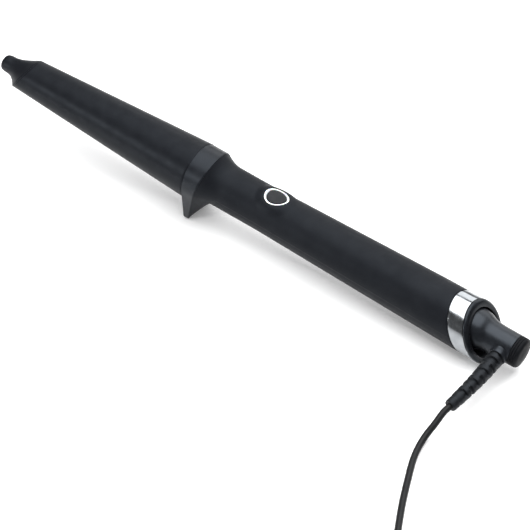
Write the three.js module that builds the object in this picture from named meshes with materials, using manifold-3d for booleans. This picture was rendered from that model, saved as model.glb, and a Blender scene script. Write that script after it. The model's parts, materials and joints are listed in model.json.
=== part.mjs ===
// A tapered curling wand: hollow heated barrel, collar with a fixed safety stand, soft-touch handle with one
// sprung button, slanted end with a bright band, and a swivel that carries the mains lead.
// Millimetres, +Z up.
//
// The wand is drawn lying along X, tip at -X, with its own centre line on the X axis and the button on +Z.
// A group then tips it so that the stand's foot and the band's lower rear edge both touch the resting
// surface, z = 0.

import * as THREE from "three";
import { mergeVertices } from "three/addons/utils/BufferGeometryUtils.js";
import Module from "manifold-3d";

const wasm = await Module();
wasm.setup();

// ---- Driving dimensions ---------------------------------------------------------------------------------
const GAP = 0.3; // clearance between pieces that touch
const ROUND = 36; // facets round the large round pieces
const SMALL_ROUND = 12; // facets round the small ones

const SLANT = 0.548; // run of the slanted ends: x shifts by this much per mm of height
const TIP_SHOULDER_X = -121.1; // where the slanted shoulder of the tip crosses the centre line
const NUB_END_X = -138;
const NUB_RADIUS = 5.3;

const BARREL_BASE_RADIUS = 16.8;
const BARREL_TAPER = 0.0534; // radius gained per mm towards the handle
const BARREL_WALL = 1.2;

const COLLAR_RADIUS = 16.65;
const COLLAR_TOP_X = 12; // rear edge of the collar at its top
const COLLAR_REAR_LEAN = 0.2; // the rear edge leans forward by this much per mm towards the foot
const FOOT_Z = -28.7; // before the foot is trimmed flat to the resting surface
const FOOT_HALF_WIDTH = 10.9;
const FOOT_FLAT_X = 2.6; // the foot is flat up to here
const FOOT_RISE = 1.6; // height gained per mm behind it

const NECK_RADIUS = 12.75;
const FLARE_END_X = 23;
const FLARE_START_X = 46; // the handle is straight up to here and widens after it
const HANDLE_TAPER = 0.023;
const HANDLE_WALL = 1.6;

const BUTTON_X = 52;
const PAD_HEIGHT = 1.05; // the raised pad that carries the button
const PAD_RADIUS = 7.4;
const PAD_FADE = 5.5;
const CAP_RADIUS = 5.55;
const RING_INNER = 5.9;
const RING_OUTER = 6.95;

const BAND_FRONT_X = 177; // slanted planes, where they cross the centre line
const BAND_REAR_X = 186.7;
const END_FACE_X = 189.2;
const RECESS_RADIUS = 12.4;
const RECESS_FLOOR_X = 176.5;
const SPIGOT_RADIUS = 13.5;

const STEM_RADIUS = 8.66;
const STEM_DOME_RADIUS = 11.6;
const STEM_DOME_X = 178.6;
const STEM_END_X = 208.3;
const STEM_CAP_END_X = 214.5;
const SHAFT_RADIUS = 5;
const BOOT_X = 203;
const BOOT_DROOP = 5; // degrees below level that the strain relief points at rest
const BOOT_END = 52; // from the swivel's centre line to the tip of the strain relief
const BOOT_ROOT_RADIUS = 4.3;
const BOOT_TIP_RADIUS = 3.6;

const CORD_DIAMETER = 3.8;
const COIL_MEAN_RADIUS = 23;
const COIL_HALF_BAND = 8.2;
const COIL_HEIGHT = 17;
const COIL_CENTRE = [186, -212]; // on the resting surface

const REST_TILT = THREE.MathUtils.degToRad(3.56); // how far the wand leans, tip up, when it stands

const BOARD_BOTTOM_Z = 0.6;
const BOARD_TOP_Z = 2.2;

// ---- Solids ---------------------------------------------------------------------------------------------
function toSolid(geometry) {
  const bare = geometry.clone();
  bare.deleteAttribute("normal");
  bare.deleteAttribute("uv");
  const merged = mergeVertices(bare, 1e-4);
  const index = Array.from(merged.index.array);
  const make = (triangles) =>
    new wasm.Manifold(
      new wasm.Mesh({
        numProp: 3,
        vertProperties: new Float32Array(merged.attributes.position.array),
        triVerts: new Uint32Array(triangles),
      }),
    );
  const solid = make(index);
  return solid.volume() < 0 ? make(index.reverse()) : solid;
}

function toGeometry(solid) {
  const mesh = solid.getMesh();
  const geometry = new THREE.BufferGeometry();
  geometry.setAttribute("position", new THREE.BufferAttribute(new Float32Array(mesh.vertProperties), 3));
  geometry.setIndex(new THREE.BufferAttribute(new Uint32Array(mesh.triVerts), 1));
  geometry.computeVertexNormals();
  return geometry;
}

const join = (first, ...others) => others.reduce((sum, other) => sum.add(other), first);
const cut = (first, ...others) => others.reduce((rest, other) => rest.subtract(other), first);
const common = (first, ...others) => others.reduce((rest, other) => rest.intersect(other), first);

// A solid of revolution about X. The profile is a closed outline of [x, radius] points.
function turned(profile, facets = ROUND) {
  const outline = [...profile, profile[0]].map(([x, radius]) => new THREE.Vector2(radius, x));
  return toSolid(new THREE.LatheGeometry(outline, facets).rotateZ(-Math.PI / 2));
}

function rod(x0, x1, radius, facets = ROUND) {
  return turned([[x0, 0], [x0, radius], [x1, radius], [x1, 0]], facets);
}

function tube(x0, x1, outer, inner, facets = ROUND) {
  return turned([[x0, inner], [x0, outer], [x1, outer], [x1, inner]], facets);
}

function box(x0, x1, y0, y1, z0, z1) {
  const geometry = new THREE.BoxGeometry(x1 - x0, y1 - y0, z1 - z0);
  return toSolid(geometry.translate((x0 + x1) / 2, (y0 + y1) / 2, (z0 + z1) / 2));
}

// A round bar parallel to X at (y, z), or parallel to Z at (x, y).
function barX(x0, x1, y, z, radius, facets = SMALL_ROUND) {
  const geometry = new THREE.CylinderGeometry(radius, radius, x1 - x0, facets).rotateZ(-Math.PI / 2);
  return toSolid(geometry.translate((x0 + x1) / 2, y, z));
}

function barZ(x, y, z0, z1, radius, facets = SMALL_ROUND) {
  const geometry = new THREE.CylinderGeometry(radius, radius, z1 - z0, facets).rotateX(Math.PI / 2);
  return toSolid(geometry.translate(x, y, (z0 + z1) / 2));
}

// The half space in front of (towards -X of) the plane x = at + slope * z, as a large slab.
function aheadOf(at, slope) {
  const reach = 400;
  const tall = 60;
  const outline = new THREE.Shape([
    new THREE.Vector2(-reach, -tall),
    new THREE.Vector2(at - slope * tall, -tall),
    new THREE.Vector2(at + slope * tall, tall),
    new THREE.Vector2(-reach, tall),
  ]);
  const slab = new THREE.ExtrudeGeometry(outline, { depth: 2 * tall, bevelEnabled: false });
  return toSolid(slab.translate(0, 0, -tall).rotateX(Math.PI / 2));
}

// A round body whose radius is any function of place along X and of the direction round it.
function sculpted(stations, radiusAt, facets = ROUND) {
  const steps = stations.length - 1;
  const geometry = new THREE.CylinderGeometry(1, 1, 1, facets, steps).rotateZ(-Math.PI / 2);
  const position = geometry.attributes.position;
  for (let i = 0; i < position.count; i++) {
    const along = Math.round((position.getX(i) + 0.5) * steps);
    const y = position.getY(i);
    const z = position.getZ(i);
    const x = stations[along];
    const onAxis = Math.hypot(y, z) < 0.5;
    const radius = onAxis ? 0 : radiusAt(x, Math.atan2(z, y));
    position.setXYZ(i, x, y * radius, z * radius);
  }
  return toSolid(geometry);
}

function evenly(from, to, steps) {
  return Array.from({ length: steps + 1 }, (_, i) => from + ((to - from) * i) / steps);
}

const smooth = (t) => {
  const u = Math.min(1, Math.max(0, t));
  return u * u * (3 - 2 * u);
};

// ---- Outer surfaces -------------------------------------------------------------------------------------
const barrelRadius = (x) => BARREL_BASE_RADIUS + BARREL_TAPER * x;
const handleRadius = (x) => NECK_RADIUS + HANDLE_TAPER * Math.max(0, x - FLARE_START_X);

// The band's lower rear edge and the stand's foot carry the wand. restHeight is the surface they stand on.
const RIM_X = (BAND_REAR_X + SLANT * handleRadius(0)) / (1 - SLANT * HANDLE_TAPER);
const RIM_RADIUS = handleRadius(RIM_X);
const restHeight = (x) => -RIM_RADIUS + (x - RIM_X) * Math.tan(REST_TILT);

// The collar seen along X: a circle drawn down to a flat foot by two tangent sides.
function collarOutline() {
  const toCorner = Math.hypot(FOOT_HALF_WIDTH, FOOT_Z);
  const corner = Math.atan2(FOOT_Z, FOOT_HALF_WIDTH);
  const tangent = corner + Math.acos(COLLAR_RADIUS / toCorner);
  const edge = 2.2; // length of the eased foot corner
  const outline = new THREE.Shape();
  outline.absarc(0, 0, COLLAR_RADIUS, tangent, Math.PI - tangent, false);
  outline.lineTo(-FOOT_HALF_WIDTH - 0.5, FOOT_Z + edge);
  outline.quadraticCurveTo(-FOOT_HALF_WIDTH, FOOT_Z, -FOOT_HALF_WIDTH + edge, FOOT_Z);
  outline.lineTo(FOOT_HALF_WIDTH - edge, FOOT_Z);
  outline.quadraticCurveTo(FOOT_HALF_WIDTH, FOOT_Z, FOOT_HALF_WIDTH + 0.5, FOOT_Z + edge);
  return outline;
}

// Distance from the centre line to the collar's outline in one direction.
function collarReach(angle) {
  const side = Math.abs(Math.cos(angle));
  const down = -Math.sin(angle);
  const cornerAngle = Math.atan2(-FOOT_Z, FOOT_HALF_WIDTH);
  const tangent = cornerAngle - Math.acos(COLLAR_RADIUS / Math.hypot(FOOT_HALF_WIDTH, FOOT_Z));
  const below = Math.atan2(down, side);
  if (below <= tangent) return COLLAR_RADIUS;
  const toSide = COLLAR_RADIUS / Math.cos(below - tangent);
  return Math.min(toSide, -FOOT_Z / Math.max(down, 1e-6));
}

const collarRearX = (z) => COLLAR_TOP_X - COLLAR_REAR_LEAN * (COLLAR_RADIUS - z);

// The neck flares from the collar's outline down to the handle's own radius, and rises steeply behind
// the foot.
function handleSurface(x, angle) {
  const reach = collarReach(angle);
  const start = collarRearX(reach * Math.sin(angle));
  const blend = Math.min(1, Math.max(0, (x - start) / (FLARE_END_X - start)));
  const underside = -FOOT_Z - FOOT_RISE * Math.max(0, x - FOOT_FLAT_X);
  const limit = Math.max(0, underside / Math.max(-Math.sin(angle), 1e-3));
  const flared = handleRadius(x) + (reach - handleRadius(x)) * (1 - blend) ** 2;
  const flare = Math.max(0, Math.min(flared, limit) - handleRadius(x));
  const across = handleRadius(x) * Math.abs(Math.PI / 2 - Math.abs(angle));
  const fromButton = angle > 0 ? Math.hypot(x - BUTTON_X, across) : Infinity;
  const pad = PAD_HEIGHT * (1 - smooth((fromButton - PAD_RADIUS) / PAD_FADE));
  return handleRadius(x) + flare + pad;
}

// ---- Barrel and tip -------------------------------------------------------------------------------------
function makeBarrel() {
  const far = TIP_SHOULDER_X - 10;
  const outer = turned([[far, 0], [far, barrelRadius(far)], [0, barrelRadius(0)], [0, 0]]);
  const inner = turned([
    [far - 1, 0],
    [far - 1, barrelRadius(far - 1) - BARREL_WALL],
    [1, barrelRadius(1) - BARREL_WALL],
    [1, 0],
  ]);
  return cut(outer, inner, aheadOf(TIP_SHOULDER_X, SLANT));
}

const barrelBore = (x) => barrelRadius(x) - BARREL_WALL;

function makeCoolTip() {
  const shear = new THREE.Matrix4().set(1, 0, SLANT, 0, 0, 1, 0, 0, 0, 0, 1, 0, 0, 0, 0, 1);
  const shoulder = barrelRadius(TIP_SHOULDER_X);
  const flareOutline = [
    [-9, 0],
    [-9, NUB_RADIUS],
    [-6.6, NUB_RADIUS + 0.8],
    [-4.4, 7.3],
    [-2, 8.9],
    [-GAP, shoulder],
    [-GAP, 0],
  ].map(([x, radius]) => new THREE.Vector2(radius, TIP_SHOULDER_X + x));
  const flare = new THREE.LatheGeometry(flareOutline, ROUND).rotateZ(-Math.PI / 2);
  const nub = turned([
    [NUB_END_X, 0],
    [NUB_END_X + 0.3, 2.6],
    [NUB_END_X + 1.4, 4.1],
    [NUB_END_X + 3.2, 5.0],
    [NUB_END_X + 5.5, NUB_RADIUS],
    [TIP_SHOULDER_X - 4, NUB_RADIUS + 0.1],
    [TIP_SHOULDER_X - 4, 0],
  ]);
  const spigotEnd = -111;
  const spigotRadius = barrelBore(TIP_SHOULDER_X) - 1.1;
  const spigot = rod(TIP_SHOULDER_X - 2, spigotEnd, spigotRadius);
  const pilot = barX(-128, spigotEnd + 1, 0, 0, 1.5);
  const body = join(toSolid(flare.applyMatrix4(shear)), nub, spigot);
  return cut(body, pilot);
}

// Two hollow D-shaped carriers are pressed apart against the barrel by a wavy strip, each with a heater
// on its flat.
const CARRIER_FROM = -107;
const CARRIER_TO = -17;
const CARRIER_FLAT = 2.5;

function makeCarrier(side) {
  const fit = (x) => barrelBore(x) - 0.4;
  const shell = (inset) =>
    turned([
      [CARRIER_FROM - inset, 0],
      [CARRIER_FROM - inset, fit(CARRIER_FROM) - inset],
      [CARRIER_TO + inset, fit(CARRIER_TO) - inset],
      [CARRIER_TO + inset, 0],
    ]);
  const wall = 1.5;
  const from = CARRIER_FROM - 5;
  const to = CARRIER_TO + 5;
  const half = (z) => (side > 0 ? box(from, to, -20, 20, z, 20) : box(from, to, -20, 20, -20, -z));
  return cut(common(shell(0), half(CARRIER_FLAT)), common(shell(wall), half(CARRIER_FLAT + wall)));
}

function makeHeater(side) {
  const thick = 1.1;
  const near = CARRIER_FLAT - GAP - thick;
  const z0 = side > 0 ? near : -near - thick;
  return box(-92, -28, -6.5, 6.5, z0, z0 + thick);
}

function makeSpreader() {
  const waves = 5;
  const half = 0.38;
  const thick = 0.25;
  const xs = evenly(-88, -32, waves * 6);
  const lift = (x) => half * Math.sin(((x + 88) / 56) * waves * 2 * Math.PI);
  const upper = xs.map((x) => new THREE.Vector2(x, lift(x) + thick / 2));
  const lower = xs.map((x) => new THREE.Vector2(x, lift(x) - thick / 2)).reverse();
  const edge = new THREE.Shape([...upper, ...lower]);
  const strip = new THREE.ExtrudeGeometry(edge, { depth: 8, bevelEnabled: false });
  return toSolid(strip.translate(0, 0, -4).rotateX(Math.PI / 2));
}

// ---- Collar, mount and handle ---------------------------------------------------------------------------
const COLLAR_BORE = 14.6;
const MOUNT_FLANGE_RADIUS = 14.2;
const NECK_BORE = 9.6;
const MOUNT_SCREW_Y = 11.6;
const MOUNT_SCREW_RADIUS = 1.1;

function makeCollarStand() {
  const extrusion = { depth: 20, bevelEnabled: false, curveSegments: 32 };
  const plate = new THREE.ExtrudeGeometry(collarOutline(), extrusion);
  plate.applyMatrix4(new THREE.Matrix4().set(0, 0, 1, GAP, 1, 0, 0, 0, 0, 1, 0, 0, 0, 0, 0, 1));
  const rear = aheadOf(collarRearX(0), COLLAR_REAR_LEAN);
  const under = new THREE.BoxGeometry(80, 80, 10).translate(0, 0, -5).rotateY(-REST_TILT);
  const belowFoot = toSolid(under.translate(0, 0, restHeight(0)));
  return cut(common(toSolid(plate), rear), rod(-5, 30, COLLAR_BORE), belowFoot);
}

function makeBarrelMount() {
  const tailEnd = 34;
  const body = turned([
    [-14, 13.9],
    [-14, 14.4],
    [-GAP, 15.2],
    [-GAP, MOUNT_FLANGE_RADIUS],
    [5.6, MOUNT_FLANGE_RADIUS],
    [5.6, NECK_BORE - 0.4],
    [tailEnd, NECK_BORE - 0.4],
    [tailEnd, 6.4],
    [1.6, 6.4],
    [1.6, 13.9],
  ]);
  const screws = [-1, 1].map((s) => barX(-1, 8, s * MOUNT_SCREW_Y, 0, MOUNT_SCREW_RADIUS + GAP));
  return cut(body, ...screws, barZ(30, 0, -12, -5, 1.1));
}

// A screw parallel to X: its head sits outside seatX, and its point is at tipX.
function makeScrewX(seatX, tipX, y, z, radius, headRadius) {
  const headHeight = 1.4;
  const out = -Math.sign(tipX - seatX);
  const bar = (a, b, r, facets) => barX(Math.min(a, b), Math.max(a, b), y, z, r, facets);
  const shank = bar(seatX + 0.5 * out, tipX, radius, 12);
  return join(shank, bar(seatX, seatX + headHeight * out, headRadius, SMALL_ROUND));
}

function makeHandleShell() {
  const stations = [...evenly(2, 23, 8), ...evenly(40, 64, 9), 120, 200];
  const outer = sculpted(stations, handleSurface);
  const innerRadius = (x) => handleRadius(x) - HANDLE_WALL;
  const boreFrom = FLARE_END_X + 1;
  const bore = turned([
    [boreFrom, 0],
    [boreFrom, NECK_BORE],
    [boreFrom + 2, innerRadius(boreFrom)],
    [FLARE_START_X, innerRadius(FLARE_START_X)],
    [210, innerRadius(210)],
    [210, 0],
  ]);
  const screwHoles = [-1, 1].map((s) => barX(4, 17.5, s * MOUNT_SCREW_Y, 0, MOUNT_SCREW_RADIUS + GAP));
  return cut(
    common(outer, aheadOf(BAND_FRONT_X - GAP, -SLANT)),
    aheadOf(collarRearX(0) + GAP, COLLAR_REAR_LEAN),
    rod(-5, boreFrom + 1, NECK_BORE),
    bore,
    barZ(BUTTON_X, 0, 5, 20, RING_OUTER + GAP, 32),
    ...screwHoles,
  );
}

// ---- Button ---------------------------------------------------------------------------------------------
const padSurface = handleRadius(BUTTON_X) + PAD_HEIGHT;

function underSkin(solid, inset) {
  return common(solid, rod(BUTTON_X - 15, BUTTON_X + 15, padSurface - inset, 96));
}

function makeButton() {
  const flange = barZ(BUTTON_X, 0, 7.2, 8.1, 6.8, 24);
  const plunger = barZ(BUTTON_X, 0, 7, 9, 1.6);
  const cap = underSkin(barZ(BUTTON_X, 0, 7.6, 20, CAP_RADIUS, 32), 0.15);
  return join(cap, flange, plunger);
}

function makeLightRing() {
  const outer = barZ(BUTTON_X, 0, 8.4, 20, RING_OUTER, 32);
  const inner = barZ(BUTTON_X, 0, 8, 21, RING_INNER, 32);
  return underSkin(cut(outer, inner), 0);
}

function makeTactSwitch() {
  const body = box(BUTTON_X - 3, BUTTON_X + 3, -3, 3, BOARD_TOP_Z + GAP, 5.9);
  return cut(body, barZ(BUTTON_X, 0, 4, 7, 2.1));
}

// ---- Handle inside --------------------------------------------------------------------------------------
const CHASSIS_RADIUS = 10.7;
const CHASSIS_FROM = 26.5;
const CHASSIS_TO = 158;
const BOARD_SCREWS_X = [84, 146];
const END_SCREW_Y = 9.4;

function makeChassis() {
  const trough = common(
    tube(CHASSIS_FROM, CHASSIS_TO, CHASSIS_RADIUS, CHASSIS_RADIUS - 1.3),
    box(CHASSIS_FROM - 1, CHASSIS_TO + 1, -12, 12, -12, BOARD_BOTTOM_Z - GAP),
  );
  const posts = BOARD_SCREWS_X.map((x) => barZ(x, 0, -CHASSIS_RADIUS + 0.6, BOARD_BOTTOM_Z - GAP, 2.2));
  const endPosts = [-1, 1].map((s) => barX(148, 169, s * END_SCREW_Y, -1.9, 2.1));
  const boardHoles = BOARD_SCREWS_X.map((x) => barZ(x, 0, -5, 3, 1));
  const endHoles = [-1, 1].map((s) => barX(155, 172, s * END_SCREW_Y, -1.9, 1.3, 12));
  return cut(join(trough, ...posts, ...endPosts), ...boardHoles, ...endHoles, barZ(30, 0, -12, -5, 1.4));
}

function makeBoard() {
  const plate = box(38, 150, -9.4, 9.4, BOARD_BOTTOM_Z, BOARD_TOP_Z);
  return cut(plate, ...BOARD_SCREWS_X.map((x) => barZ(x, 0, 0, 3, 1.2)));
}

function makeBoardScrew(x) {
  const seat = BOARD_TOP_Z + GAP;
  return join(barZ(x, 0, -4, seat + 0.5, 0.7, 12), barZ(x, 0, seat, seat + 1.1, 1.9));
}

const onBoard = (x0, x1, y0, y1, tall) => box(x0, x1, y0, y1, BOARD_TOP_Z + GAP, BOARD_TOP_Z + GAP + tall);

// ---- End of the handle ----------------------------------------------------------------------------------
function makeBand() {
  const profile = [
    [150, SPIGOT_RADIUS + GAP],
    [150, handleRadius(150)],
    [210, handleRadius(210)],
    [210, SPIGOT_RADIUS + GAP],
  ];
  return cut(common(turned(profile), aheadOf(BAND_REAR_X, -SLANT)), aheadOf(BAND_FRONT_X, -SLANT));
}

function makeEndCap() {
  const front = 165;
  const spigot = rod(front, 205, SPIGOT_RADIUS);
  const rim = handleRadius(END_FACE_X);
  const shear = new THREE.Matrix4().set(1, 0, -SLANT, 0, 0, 1, 0, 0, 0, 0, 1, 0, 0, 0, 0, 1);
  const flange = new THREE.LatheGeometry(
    [
      [BAND_REAR_X + GAP, 0],
      [BAND_REAR_X + GAP, rim],
      [END_FACE_X - 1.1, rim - 0.25],
      [END_FACE_X - 0.3, rim - 0.8],
      [END_FACE_X, rim - 1.6],
      [END_FACE_X, 0],
    ].map(([x, radius]) => new THREE.Vector2(radius, x)),
    ROUND,
  ).rotateZ(-Math.PI / 2);
  const body = join(common(spigot, aheadOf(END_FACE_X, -SLANT)), toSolid(flange.applyMatrix4(shear)));
  const screwHoles = [-1, 1].map((s) => barX(front - 1, 180, s * END_SCREW_Y, -1.9, 1.4, 12));
  return cut(
    body,
    rod(RECESS_FLOOR_X, 230, RECESS_RADIUS),
    rod(front - 1, 180, 6.7),
    rod(front - 1, 170.3, 12.1),
    ...screwHoles,
  );
}

const makeBush = () =>
  turned([
    [169.2, SHAFT_RADIUS + GAP],
    [169.2, 6.4],
    [RECESS_FLOOR_X + GAP, 6.4],
    [RECESS_FLOOR_X + GAP, 7],
    [178, 7],
    [178, SHAFT_RADIUS + GAP],
  ]);

// ---- Swivel and strain relief, drawn with the lead leaving along -Y -------------------------------------
const CLIP_X = 167.2;

function barY(x, y0, y1, z, radius, radiusAtY1 = radius, facets = 24) {
  const geometry = new THREE.CylinderGeometry(radiusAtY1, radius, y1 - y0, facets);
  return toSolid(geometry.translate(x, (y0 + y1) / 2, z));
}

function makeStem() {
  const dome = STEM_DOME_RADIUS - STEM_RADIUS;
  const shoulder = evenly(0, Math.PI / 2, 3).map((a) => [
    185.6 + 2 * dome * Math.sin(a),
    STEM_RADIUS + dome * Math.cos(a),
  ]);
  const wall = 1.6;
  const outer = turned([
    [157, 2],
    [157, SHAFT_RADIUS],
    [CLIP_X - 0.1, SHAFT_RADIUS],
    [CLIP_X - 0.1, 4],
    [CLIP_X + 1.5, 4],
    [CLIP_X + 1.5, SHAFT_RADIUS],
    [STEM_DOME_X, SHAFT_RADIUS],
    [STEM_DOME_X, STEM_DOME_RADIUS],
    ...shoulder,
    [STEM_END_X, STEM_RADIUS],
    [STEM_END_X, STEM_RADIUS - wall],
    [190, STEM_RADIUS - wall],
    [186, 2],
  ]);
  const boss = barY(BOOT_X, -10.4, -7.5, 0, 5.2);
  const mouth = barY(BOOT_X, -12, -3, 0, BOOT_ROOT_RADIUS + GAP);
  return cut(join(outer, cut(boss, rod(190, 215, STEM_RADIUS - 0.8))), mouth);
}

function makeStemCap() {
  const disc = turned([
    [STEM_END_X + GAP, 0],
    [STEM_END_X + GAP, STEM_RADIUS],
    [210.3, STEM_RADIUS - 0.1],
    [212, 7.8],
    [213.3, 6.4],
    [STEM_CAP_END_X, 3.2],
    [STEM_CAP_END_X, 0],
  ]);
  const snapTab = box(204, STEM_END_X + 1, 4.9, 6.4, -2, 2);
  return join(disc, snapTab);
}

function makeBoot() {
  const start = 2.8;
  const flange = 4.3;
  const ribs = 8;
  const pitch = (BOOT_END - 16) / ribs;
  const radiusAt = (y) => {
    const t = (y - start) / (BOOT_END - start);
    return BOOT_ROOT_RADIUS + (BOOT_TIP_RADIUS - BOOT_ROOT_RADIUS) * t;
  };
  const profile = [[start, 0], [start, 5.1], [flange, 5.1], [flange, radiusAt(flange)]];
  for (let i = 0; i < ribs; i++) {
    const y = 13 + i * pitch;
    const groove = radiusAt(y) - 0.9;
    profile.push([y, radiusAt(y)], [y, groove], [y + 1.6, groove], [y + 1.6, radiusAt(y)]);
  }
  profile.push([BOOT_END, BOOT_TIP_RADIUS], [BOOT_END, 0]);
  const outline = [...profile, profile[0]].map(([y, radius]) => new THREE.Vector2(radius, -y));
  return toSolid(new THREE.LatheGeometry(outline, SMALL_ROUND).translate(BOOT_X, 0, 0));
}

const slipRing = (x) => tube(x, x + 2.2, 6.6, SHAFT_RADIUS + GAP, 24);

function makeBrush(x, side) {
  const inner = side > 0 ? 2.6 : -3.6;
  const leaf = box(x + 0.3, x + 1.9, inner, inner + 1, 6.5, 9.5);
  const arm = box(146, x + 1.9, inner, inner + 1, 9.2, 9.8);
  const foot = box(144.5, 148.5, inner, inner + 1, BOARD_TOP_Z + GAP, 9.8);
  return join(leaf, arm, foot);
}

function makeCirclip() {
  const ring = tube(CLIP_X + 0.2, CLIP_X + 1.2, 6.2, 4.3, 24);
  return cut(ring, box(CLIP_X - 1, CLIP_X + 2, -2.6, 2.6, 0, 8));
}

// ---- Wires and mains lead -------------------------------------------------------------------------------
const WIRE_RADIUS = 0.7;
const CORD_RADIUS = CORD_DIAMETER / 2;
const ON_SURFACE = CORD_RADIUS + 0.05; // height of the lead's centre line where it lies on the surface

function cable(points, radius, sides, steps) {
  const path = new THREE.CatmullRomCurve3(points.map((p) => new THREE.Vector3(...p)), false, "centripetal");
  const section = new THREE.Shape();
  for (let i = 0; i < sides; i++) {
    const angle = (2 * Math.PI * i) / sides;
    const [x, y] = [radius * Math.cos(angle), radius * Math.sin(angle)];
    if (i === 0) section.moveTo(x, y);
    else section.lineTo(x, y);
  }
  return toSolid(new THREE.ExtrudeGeometry(section, { steps, extrudePath: path, bevelEnabled: false }));
}

const wire = (points) => cable(points, WIRE_RADIUS, 6, 14);

const heaterLead = (side) =>
  wire([
    [-27.6, 3 * side, 1.65 * side],
    [-12, 3 * side, 1.65 * side],
    [8, 3 * side, 2.2 * side],
    [26, 3 * side, 3.3],
    [36, 3 * side, 3.5],
    [42, 3 * side, 3.5],
  ]);

const sensorLead = () =>
  wire([
    [-93.6, 8.4, 0],
    [-60, 8.8, 0],
    [-20, 8.8, 0],
    [-4, 5.6, -1],
    [12, 5.2, -1],
    [26, 4.8, 1.6],
    [33, 4.9, 2.6],
    [36.5, 5.4, 3.4],
    [42, 6, 3.6],
  ]);

const swivelLead = (side) =>
  wire([
    [201.5, -2, 1.1 * side],
    [196, -0.8, 1 * side],
    [186, 0, 0.95 * side],
    [158, 0, 0.95 * side],
  ]);

// From the strain relief down to the surface, and away to the coil.
function makeCord(bootTip, beyondTip) {
  const route = [
    bootTip,
    beyondTip,
    [162.4, -66, 5.2],
    [161.6, -76, 2.2],
    [162.8, -85, ON_SURFACE],
    [166.6, -96, ON_SURFACE],
    [173.8, -115, ON_SURFACE],
    [182, -132, ON_SURFACE],
    [192, -151, ON_SURFACE],
    [203, -171, ON_SURFACE],
    [211.8, -190, ON_SURFACE],
  ];
  return cable(route, CORD_RADIUS, 8, 20);
}

function makeTail() {
  const [x, y] = COIL_CENTRE;
  const route = [
    [x - 17.5, y - 30, 10.6],
    [x - 24, y - 31.4, 8.7],
    [x - 30, y - 33.8, 7.3],
    [PLUG_REAR_X + 4, PLUG_Y, PLUG_THICK / 2],
    [PLUG_REAR_X + 2 * GAP, PLUG_Y, PLUG_THICK / 2],
  ];
  return cable(route, CORD_RADIUS, 8, 6);
}

const TIE_WALL = 0.9;
const COIL_BOTTOM = TIE_WALL + 2 * GAP;

function makeCoil() {
  const soft = 3.4; // the bundle's rounded shoulders
  const [inner, outer] = [COIL_MEAN_RADIUS - COIL_HALF_BAND, COIL_MEAN_RADIUS + COIL_HALF_BAND];
  const [low, high] = [COIL_BOTTOM, COIL_BOTTOM + COIL_HEIGHT];
  const section = [
    [inner, low + soft],
    [inner + soft, low],
    [outer - soft, low],
    [outer, low + soft],
    [outer, high - soft],
    [outer - soft, high],
    [inner + soft, high],
    [inner, high - soft],
  ].map(([radius, z]) => new THREE.Vector2(radius, z));
  const ring = new THREE.LatheGeometry([...section, section[0]], 24).rotateX(Math.PI / 2);
  return toSolid(ring.translate(COIL_CENTRE[0], COIL_CENTRE[1], 0));
}

function makeTie() {
  const [x, y] = [COIL_CENTRE[0] - COIL_MEAN_RADIUS, COIL_CENTRE[1]];
  const [halfIn, halfOut, width] = [COIL_HALF_BAND + 0.7, COIL_HALF_BAND + 0.7 + TIE_WALL, 3];
  const top = COIL_BOTTOM + COIL_HEIGHT + GAP;
  const outer = box(x - halfOut, x + halfOut, y - width, y + width, GAP / 3, top + TIE_WALL);
  const inner = box(x - halfIn, x + halfIn, y - width - 1, y + width + 1, GAP / 3 + TIE_WALL, top);
  return cut(outer, inner);
}

// ---- Two-pin plug, lying flat with its pins towards -X --------------------------------------------------
const PLUG_REAR_X = 147;
const PLUG_Y = -247.5;
const PLUG_THICK = 13.7;
const PLUG_FACE_X = PLUG_REAR_X - 46;
const PIN_SPACING = 18.6;
const PIN_RADIUS = 2;
const PIN_LENGTH = 19;

function makePlugBody() {
  const corner = 1.6;
  const bodyRear = PLUG_REAR_X - 11;
  const half = 17.6;
  const outline = new THREE.Shape([
    new THREE.Vector2(PLUG_FACE_X + corner, -half + 4),
    new THREE.Vector2(PLUG_FACE_X + 5, -half + corner),
    new THREE.Vector2(PLUG_FACE_X + 14, -half + corner),
    new THREE.Vector2(bodyRear - corner, -6),
    new THREE.Vector2(bodyRear - corner, 6),
    new THREE.Vector2(PLUG_FACE_X + 14, half - corner),
    new THREE.Vector2(PLUG_FACE_X + 5, half - corner),
    new THREE.Vector2(PLUG_FACE_X + corner, half - 4),
  ]);
  const body = new THREE.ExtrudeGeometry(outline, {
    depth: PLUG_THICK - 2 * corner,
    bevelSize: corner,
    bevelThickness: corner,
    bevelSegments: 2,
  });
  const relief = new THREE.CylinderGeometry(2.6, 3.8, 13, SMALL_ROUND).rotateZ(-Math.PI / 2);
  const solid = join(
    toSolid(body.translate(0, PLUG_Y, corner)),
    toSolid(relief.translate(PLUG_REAR_X - 6.5, PLUG_Y, PLUG_THICK / 2)),
  );
  const holes = [-1, 1].map((s) =>
    barX(PLUG_FACE_X - 1, PLUG_FACE_X + 6, PLUG_Y + (s * PIN_SPACING) / 2, PLUG_THICK / 2, PIN_RADIUS + GAP),
  );
  return cut(solid, ...holes);
}

function makePin(side) {
  const y = PLUG_Y + (side * PIN_SPACING) / 2;
  const tip = PLUG_FACE_X - PIN_LENGTH;
  const shank = barX(tip + 1.5, PLUG_FACE_X + 5.5, y, PLUG_THICK / 2, PIN_RADIUS);
  const nose = new THREE.CylinderGeometry(PIN_RADIUS, 1.1, 1.5, SMALL_ROUND).rotateZ(-Math.PI / 2);
  return join(shank, toSolid(nose.translate(tip + 0.75, y, PLUG_THICK / 2)));
}

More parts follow.
